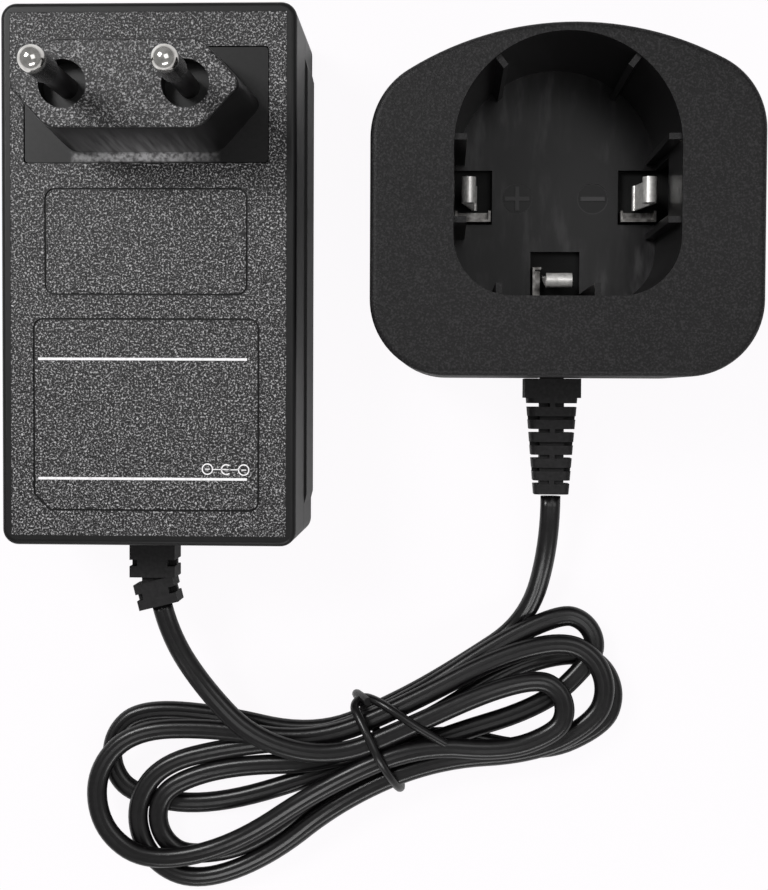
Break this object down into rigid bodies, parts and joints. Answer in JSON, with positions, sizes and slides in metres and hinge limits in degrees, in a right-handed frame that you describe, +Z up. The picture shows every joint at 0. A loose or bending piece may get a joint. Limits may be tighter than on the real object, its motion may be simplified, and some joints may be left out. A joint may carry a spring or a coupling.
{
  "type": "battery charger",
  "caption": "Black plug-in wall adapter with a flat plug, wired by a tied flat cord to a cradle with a deep cup and sprung contacts for a tool battery.",
  "frame": {"origin": "middle of the adapter and the cradle together, on the table they lie on", "axes": "+X from the adapter to the cradle, +Y from the cords' ends to the plug's end, +Z up out of the cup"},
  "size_m": [0.1244, 0.1539, 0.0665],
  "materials": {
    "case": "coarse moulded grain, satin",
    "cup_case": "fine grain outside, polished cup",
    "plug_plastic": "grained top, smooth sides",
    "sleeve": "smooth",
    "nickel": "nickel plated",
    "terminal": "plain",
    "board": "solder mask",
    "ferrite": "dull",
    "winding": "enamelled wire",
    "tape": "tape",
    "bobbin": "plain",
    "capacitor": "sleeved",
    "chip": "plain",
    "resistor": "lacquered",
    "heatsink": "bare",
    "lead": "insulated",
    "relief": "moulded",
    "cord": "satin",
    "screw": "plated"
  },
  "bodies": {
    "charger": {"adapter_back_shell": "case", "adapter_board": "board", "adapter_front_shell": "case", "adapter_output_leads": "lead", "adapter_strain_relief": "relief", "base_screws": "screw", "bridge_rectifier": "chip", "bulk_capacitors": "capacitor", "choke_core": "ferrite", "choke_windings": "winding", "contact_bracket_bottom": "nickel", "contact_bracket_left": "nickel", "contact_bracket_right": "nickel", "cord_adapter_run": "cord", "cord_cradle_run": "cord", "cord_hank": "cord", "cord_tie": "cord", "cradle_base": "case", "cradle_board": "board", "cradle_diode": "chip", "cradle_housing": "cup_case", "cradle_leads": "lead", "cradle_resistor": "resistor", "cradle_strain_relief": "relief", "fuse": "chip", "heatsink": "heatsink", "optocoupler": "chip", "output_capacitors": "capacitor", "output_diode": "chip", "pin_sleeve_left": "sleeve", "pin_sleeve_right": "sleeve", "pin_terminal_left": "terminal", "pin_terminal_right": "terminal", "plug_body": "plug_plastic", "plug_pin_left": "nickel", "plug_pin_right": "nickel", "switching_transistor": "chip", "transformer_bobbin": "bobbin", "transformer_core": "ferrite", "transformer_winding": "tape", "x_capacitor": "tape", "y_capacitor": "capacitor"},
    "left_contact": {"contact_leaf_left": "nickel"},
    "right_contact": {"contact_leaf_right": "nickel"},
    "bottom_contact": {"contact_leaf_bottom": "nickel"}
  },
  "joints": [
    {"name": "left_contact_flex", "type": "hinge", "parent": "charger", "child": "left_contact", "pos_m": [0.0164, 0.02216, 0.00435], "axis": [0, -1, 0], "range_deg": [0, 6], "stiffness_Nm_per_rad": 0.2},
    {"name": "right_contact_flex", "type": "hinge", "parent": "charger", "child": "right_contact", "pos_m": [0.045, 0.02216, 0.00435], "axis": [0, 1, 0], "range_deg": [0, 6], "stiffness_Nm_per_rad": 0.2},
    {"name": "bottom_contact_flex", "type": "hinge", "parent": "charger", "child": "bottom_contact", "pos_m": [0.0308, 0.00791, 0.00435], "axis": [1, 0, 0], "range_deg": [0, 6], "stiffness_Nm_per_rad": 0.2}
  ]
}
